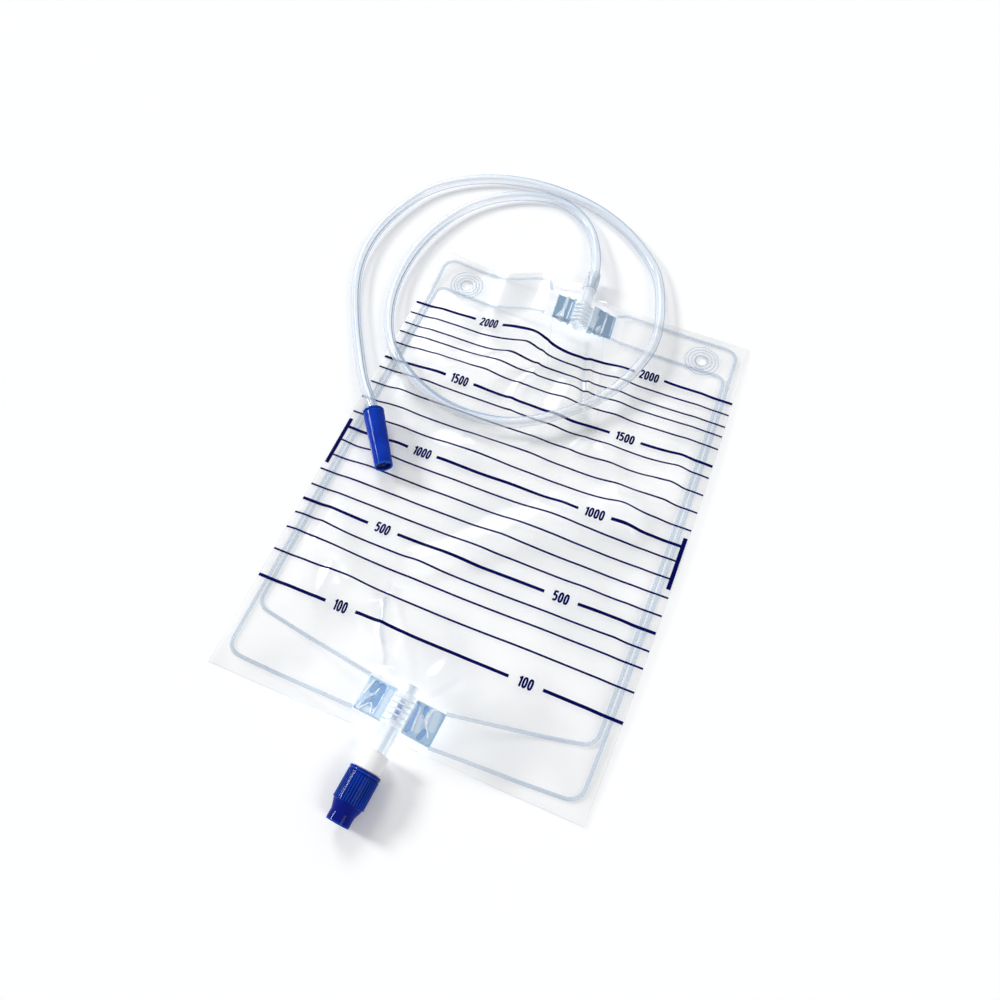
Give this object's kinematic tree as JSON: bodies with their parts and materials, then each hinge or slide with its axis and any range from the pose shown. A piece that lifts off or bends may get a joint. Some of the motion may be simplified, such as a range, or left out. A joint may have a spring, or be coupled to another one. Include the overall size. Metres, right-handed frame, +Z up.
{
  "type": "urine drainage bag",
  "caption": "Flat clear film bag with a printed volume scale, hanging eyelets, a coiled inlet tube with capped connector and a twist drain valve.",
  "frame": {"origin": "centre of the back film's underside, on the surface that the bag lies on", "axes": "+Y along the bag from the drain valve to the tube inlet, +Z up out of the printed front, +X across to the right as the scale is read"},
  "size_m": [0.272, 0.4381, 0.0172],
  "materials": {
    "film": "clear, softly wrinkled vinyl film with pressed weld lines",
    "clear_fitting": "moulded clear vinyl with a pale blue tint",
    "tube": "clear flexible hose, smooth, faint blue tint",
    "blue_cap": "deep blue moulded plastic, smooth gloss",
    "white_collar": "white moulded plastic, satin",
    "seal": "pale soft seal rubber",
    "ink": "navy printing ink on the film"
  },
  "bodies": {
    "bag": {"back_film": "film", "front_film": "film", "inlet_port": "clear_fitting", "inlet_cuff": "tube", "valve_sleeve": "film", "outlet_port": "clear_fitting", "valve_body": "white_collar", "tube_connector": "clear_fitting", "drain_tube": "tube", "mark_2000_left": "ink", "mark_2000_middle": "ink", "mark_2000_right": "ink", "mark_1900_full": "ink", "mark_1800_full": "ink", "mark_1700_full": "ink", "mark_1600_full": "ink", "mark_1500_left": "ink", "mark_1500_middle": "ink", "mark_1500_right": "ink", "mark_1400_full": "ink", "mark_1300_full": "ink", "mark_1200_full": "ink", "mark_1100_full": "ink", "mark_1000_left": "ink", "mark_1000_middle": "ink", "mark_1000_right": "ink", "mark_900_full": "ink", "mark_800_full": "ink", "mark_700_full": "ink", "mark_600_full": "ink", "mark_500_left": "ink", "mark_500_middle": "ink", "mark_500_right": "ink", "mark_400_full": "ink", "mark_300_full": "ink", "mark_200_full": "ink", "mark_100_left": "ink", "mark_100_middle": "ink", "mark_100_right": "ink", "edge_bar_left": "ink", "edge_bar_right": "ink"},
    "seal_carrier": {"valve_seal": "seal"},
    "twist_cap": {"valve_cap": "blue_cap"},
    "tube_cap": {"connector_cap": "blue_cap"}
  },
  "joints": [
    {"name": "valve_travel", "type": "slide", "parent": "bag", "child": "seal_carrier", "axis": [-0.0785, -0.9969, 0], "range_m": [0, 0.0031]},
    {"name": "valve_twist", "type": "hinge", "parent": "seal_carrier", "child": "twist_cap", "pos_m": [0.001, -0.139, 0.0087], "axis": [-0.0785, -0.9969, 0], "range_deg": [0, 360]},
    {"name": "connector_cap_pull", "type": "slide", "parent": "bag", "child": "tube_cap", "axis": [0.5821, -0.8131, 0], "range_m": [0, 0.036]}
  ],
  "couplings": [
    {"joint": "valve_travel", "follows": "valve_twist", "m_per_rad": 0.000477}
  ]
}
